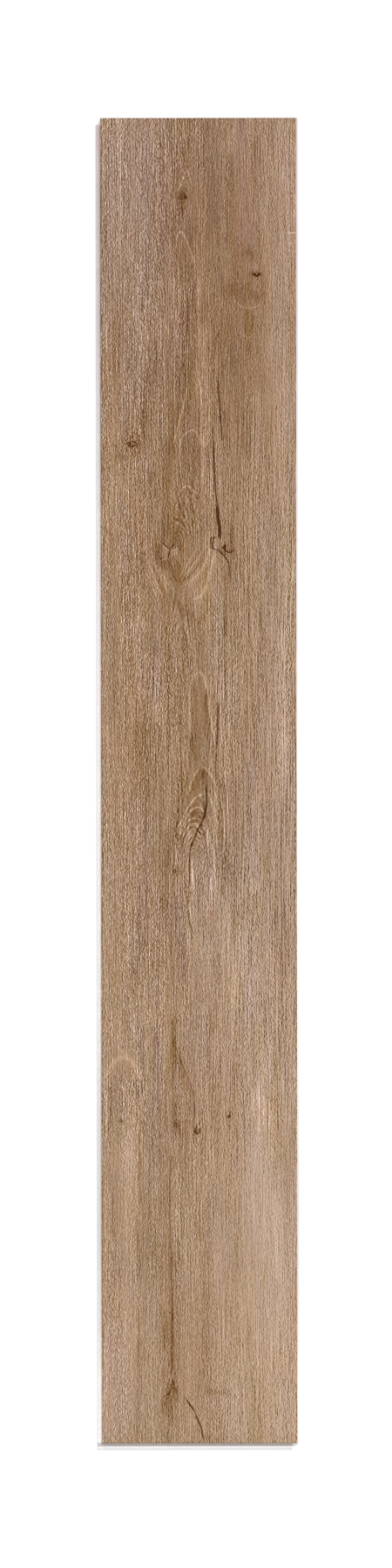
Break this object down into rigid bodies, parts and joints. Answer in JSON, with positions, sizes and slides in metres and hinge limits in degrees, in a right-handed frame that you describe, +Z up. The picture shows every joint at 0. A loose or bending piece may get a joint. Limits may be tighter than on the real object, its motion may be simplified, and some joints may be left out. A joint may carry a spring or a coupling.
{
  "type": "rigid core vinyl plank",
  "caption": "Flat wood-look floor plank: a printed, embossed vinyl layer on a rigid mineral core, milled with hooked lips, a tongue and a slot that click into neighbouring planks.",
  "frame": {"origin": "centre of the face's outline, on the underside of the plank", "axes": "+Z up out of the printed face, +Y along the length towards the end without a lip, +X across the width towards the side with the tongue"},
  "size_m": [0.1855, 1.2258, 0.005],
  "materials": {
    "mineral_core": "light grey mineral-filled vinyl, milled, matt",
    "printed_vinyl": "brown oak print under an embossed matt wear layer"
  },
  "bodies": {
    "root": {"rigid_core": "mineral_core", "vinyl_top_layer": "printed_vinyl"}
  },
  "joints": []
}
